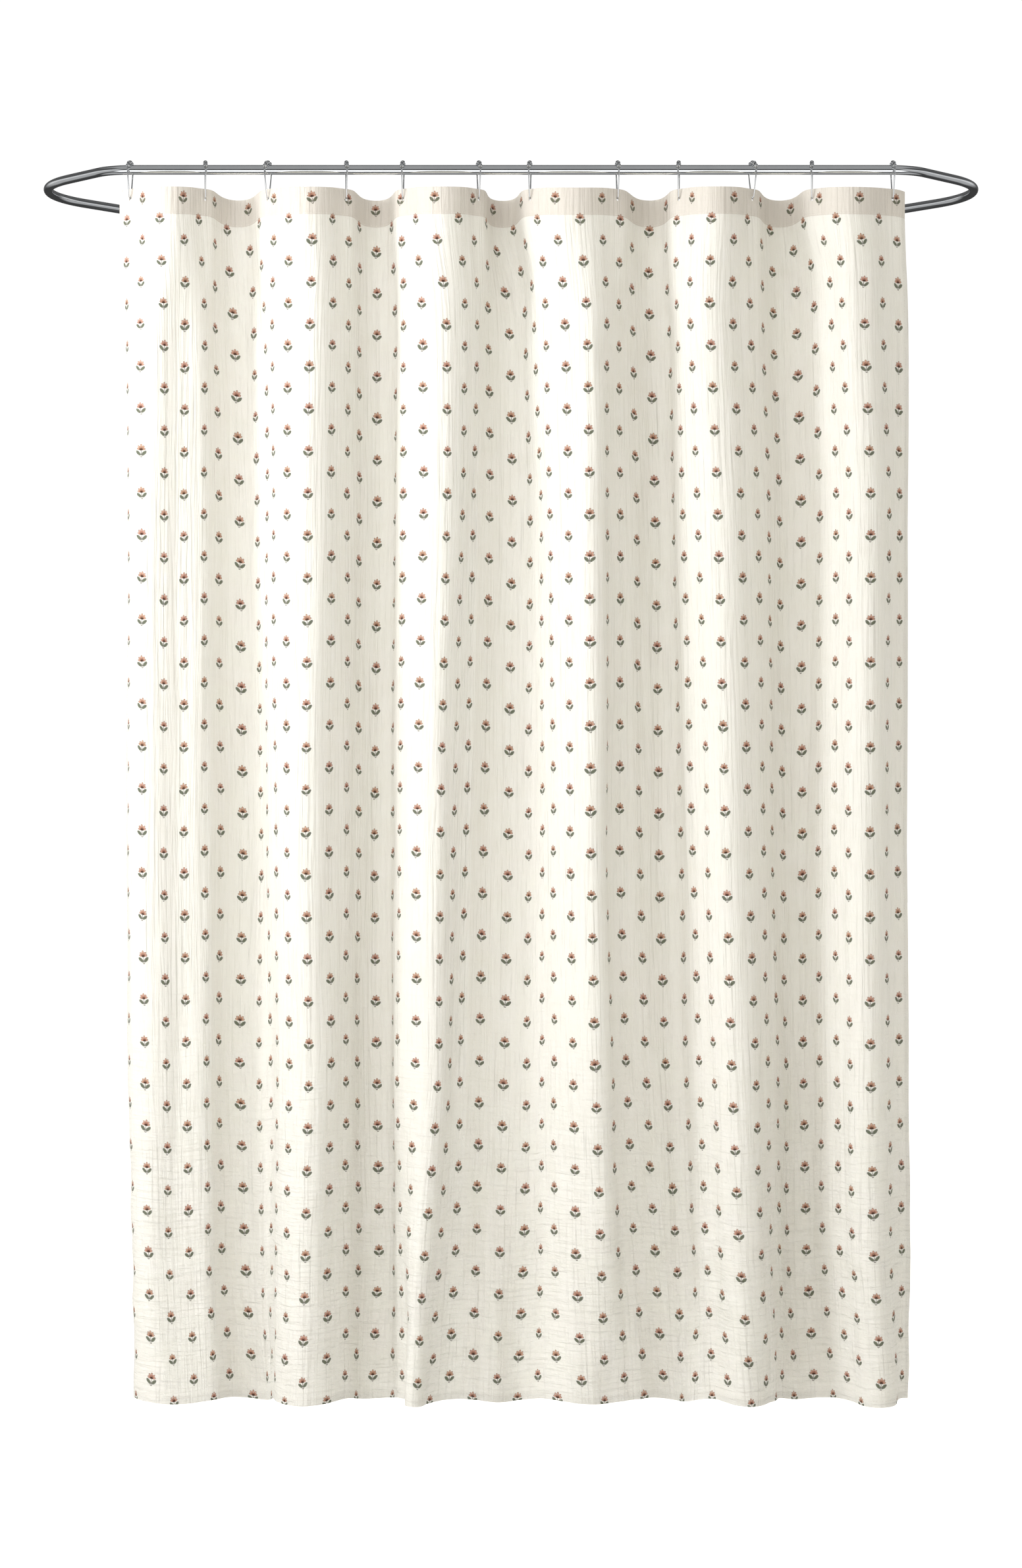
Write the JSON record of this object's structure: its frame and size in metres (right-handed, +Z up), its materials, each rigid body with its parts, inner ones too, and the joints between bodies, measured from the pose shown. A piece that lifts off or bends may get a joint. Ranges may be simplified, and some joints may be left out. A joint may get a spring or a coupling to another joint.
{
  "type": "shower curtain",
  "caption": "Crinkled muslin shower curtain with small flower print, hanging by roller hooks from the front of an oval ring rod on wall brackets.",
  "frame": {"origin": "on the wall plane, midway between the two wall flanges, level with the rod's centreline", "axes": "+Z up, +X to the right along the front bar, +Y into the wall, so the front faces -Y"},
  "size_m": [1.4628, 0.5862, 1.8903],
  "materials": {
    "chrome_tube": "polished chrome plate",
    "chrome_bracket": "polished chrome plate",
    "chrome_wire": "polished chrome-plated wire",
    "chrome_bead": "polished chrome-plated beads",
    "joiner_steel": "zinc-plated",
    "screw_steel": "zinc-plated",
    "muslin_print": "crinkled double gauze with block-printed sprigs",
    "muslin_hem": "folded and stitched double gauze",
    "hole_stitching": "satin-stitched cotton thread"
  },
  "bodies": {
    "rod": {"ring_rod_front_half": "chrome_tube", "ring_rod_rear_half": "chrome_tube", "rod_joiner_left": "joiner_steel", "rod_joiner_right": "joiner_steel", "joiner_screw_1": "screw_steel", "joiner_screw_2": "screw_steel", "joiner_screw_3": "screw_steel", "joiner_screw_4": "screw_steel", "wall_flange_left": "chrome_bracket", "wall_post_left": "chrome_bracket", "rod_saddle_left": "chrome_bracket", "wall_flange_right": "chrome_bracket", "wall_post_right": "chrome_bracket", "rod_saddle_right": "chrome_bracket", "flange_screw_1": "screw_steel", "flange_screw_2": "screw_steel", "flange_screw_3": "screw_steel", "flange_screw_4": "screw_steel"},
    "drape": {"curtain_panel": "muslin_print", "header_facing": "muslin_hem", "bottom_hem": "muslin_hem", "side_hem_left": "muslin_hem", "side_hem_right": "muslin_hem", "hook_01_wire": "chrome_wire", "hook_01_rollers": "chrome_bead", "buttonhole_01": "hole_stitching"},
    "hook_02": {"hook_02_wire": "chrome_wire", "hook_02_rollers": "chrome_bead", "buttonhole_02": "hole_stitching"},
    "hook_03": {"hook_03_wire": "chrome_wire", "hook_03_rollers": "chrome_bead", "buttonhole_03": "hole_stitching"},
    "hook_04": {"hook_04_wire": "chrome_wire", "hook_04_rollers": "chrome_bead", "buttonhole_04": "hole_stitching"},
    "hook_05": {"hook_05_wire": "chrome_wire", "hook_05_rollers": "chrome_bead", "buttonhole_05": "hole_stitching"},
    "hook_06": {"hook_06_wire": "chrome_wire", "hook_06_rollers": "chrome_bead", "buttonhole_06": "hole_stitching"},
    "hook_07": {"hook_07_wire": "chrome_wire", "hook_07_rollers": "chrome_bead", "buttonhole_07": "hole_stitching"},
    "hook_08": {"hook_08_wire": "chrome_wire", "hook_08_rollers": "chrome_bead", "buttonhole_08": "hole_stitching"},
    "hook_09": {"hook_09_wire": "chrome_wire", "hook_09_rollers": "chrome_bead", "buttonhole_09": "hole_stitching"},
    "hook_10": {"hook_10_wire": "chrome_wire", "hook_10_rollers": "chrome_bead", "buttonhole_10": "hole_stitching"},
    "hook_11": {"hook_11_wire": "chrome_wire", "hook_11_rollers": "chrome_bead", "buttonhole_11": "hole_stitching"},
    "hook_12": {"hook_12_wire": "chrome_wire", "hook_12_rollers": "chrome_bead", "buttonhole_12": "hole_stitching"}
  },
  "joints": [
    {"name": "drape_swing", "type": "hinge", "parent": "rod", "child": "drape", "pos_m": [0, -0.524, 0], "axis": [1, 0, 0], "range_deg": [-12, 12]},
    {"name": "curtain_draw", "type": "slide", "parent": "drape", "child": "hook_12", "axis": [1, 0, 0], "range_m": [-0.92, 0], "deforming": ["curtain_panel", "header_facing", "bottom_hem", "side_hem_left", "side_hem_right"]},
    {"name": "hook_02_slide", "type": "slide", "parent": "drape", "child": "hook_02", "axis": [1, 0, 0], "range_m": [-0.0911, 0]},
    {"name": "hook_03_slide", "type": "slide", "parent": "drape", "child": "hook_03", "axis": [1, 0, 0], "range_m": [-0.1667, 0]},
    {"name": "hook_04_slide", "type": "slide", "parent": "drape", "child": "hook_04", "axis": [1, 0, 0], "range_m": [-0.2613, 0]},
    {"name": "hook_05_slide", "type": "slide", "parent": "drape", "child": "hook_05", "axis": [1, 0, 0], "range_m": [-0.3294, 0]},
    {"name": "hook_06_slide", "type": "slide", "parent": "drape", "child": "hook_06", "axis": [1, 0, 0], "range_m": [-0.4209, 0]},
    {"name": "hook_07_slide", "type": "slide", "parent": "drape", "child": "hook_07", "axis": [1, 0, 0], "range_m": [-0.4826, 0]},
    {"name": "hook_08_slide", "type": "slide", "parent": "drape", "child": "hook_08", "axis": [1, 0, 0], "range_m": [-0.5885, 0]},
    {"name": "hook_09_slide", "type": "slide", "parent": "drape", "child": "hook_09", "axis": [1, 0, 0], "range_m": [-0.6622, 0]},
    {"name": "hook_10_slide", "type": "slide", "parent": "drape", "child": "hook_10", "axis": [1, 0, 0], "range_m": [-0.7512, 0]},
    {"name": "hook_11_slide", "type": "slide", "parent": "drape", "child": "hook_11", "axis": [1, 0, 0], "range_m": [-0.8229, 0]}
  ],
  "couplings": [
    {"joint": "hook_02_slide", "follows": "curtain_draw", "ratio": 0.09853},
    {"joint": "hook_03_slide", "follows": "curtain_draw", "ratio": 0.18066},
    {"joint": "hook_04_slide", "follows": "curtain_draw", "ratio": 0.28343},
    {"joint": "hook_05_slide", "follows": "curtain_draw", "ratio": 0.3575},
    {"joint": "hook_06_slide", "follows": "curtain_draw", "ratio": 0.45698},
    {"joint": "hook_07_slide", "follows": "curtain_draw", "ratio": 0.52402},
    {"joint": "hook_08_slide", "follows": "curtain_draw", "ratio": 0.63912},
    {"joint": "hook_09_slide", "follows": "curtain_draw", "ratio": 0.71925},
    {"joint": "hook_10_slide", "follows": "curtain_draw", "ratio": 0.81596},
    {"joint": "hook_11_slide", "follows": "curtain_draw", "ratio": 0.89393}
  ]
}
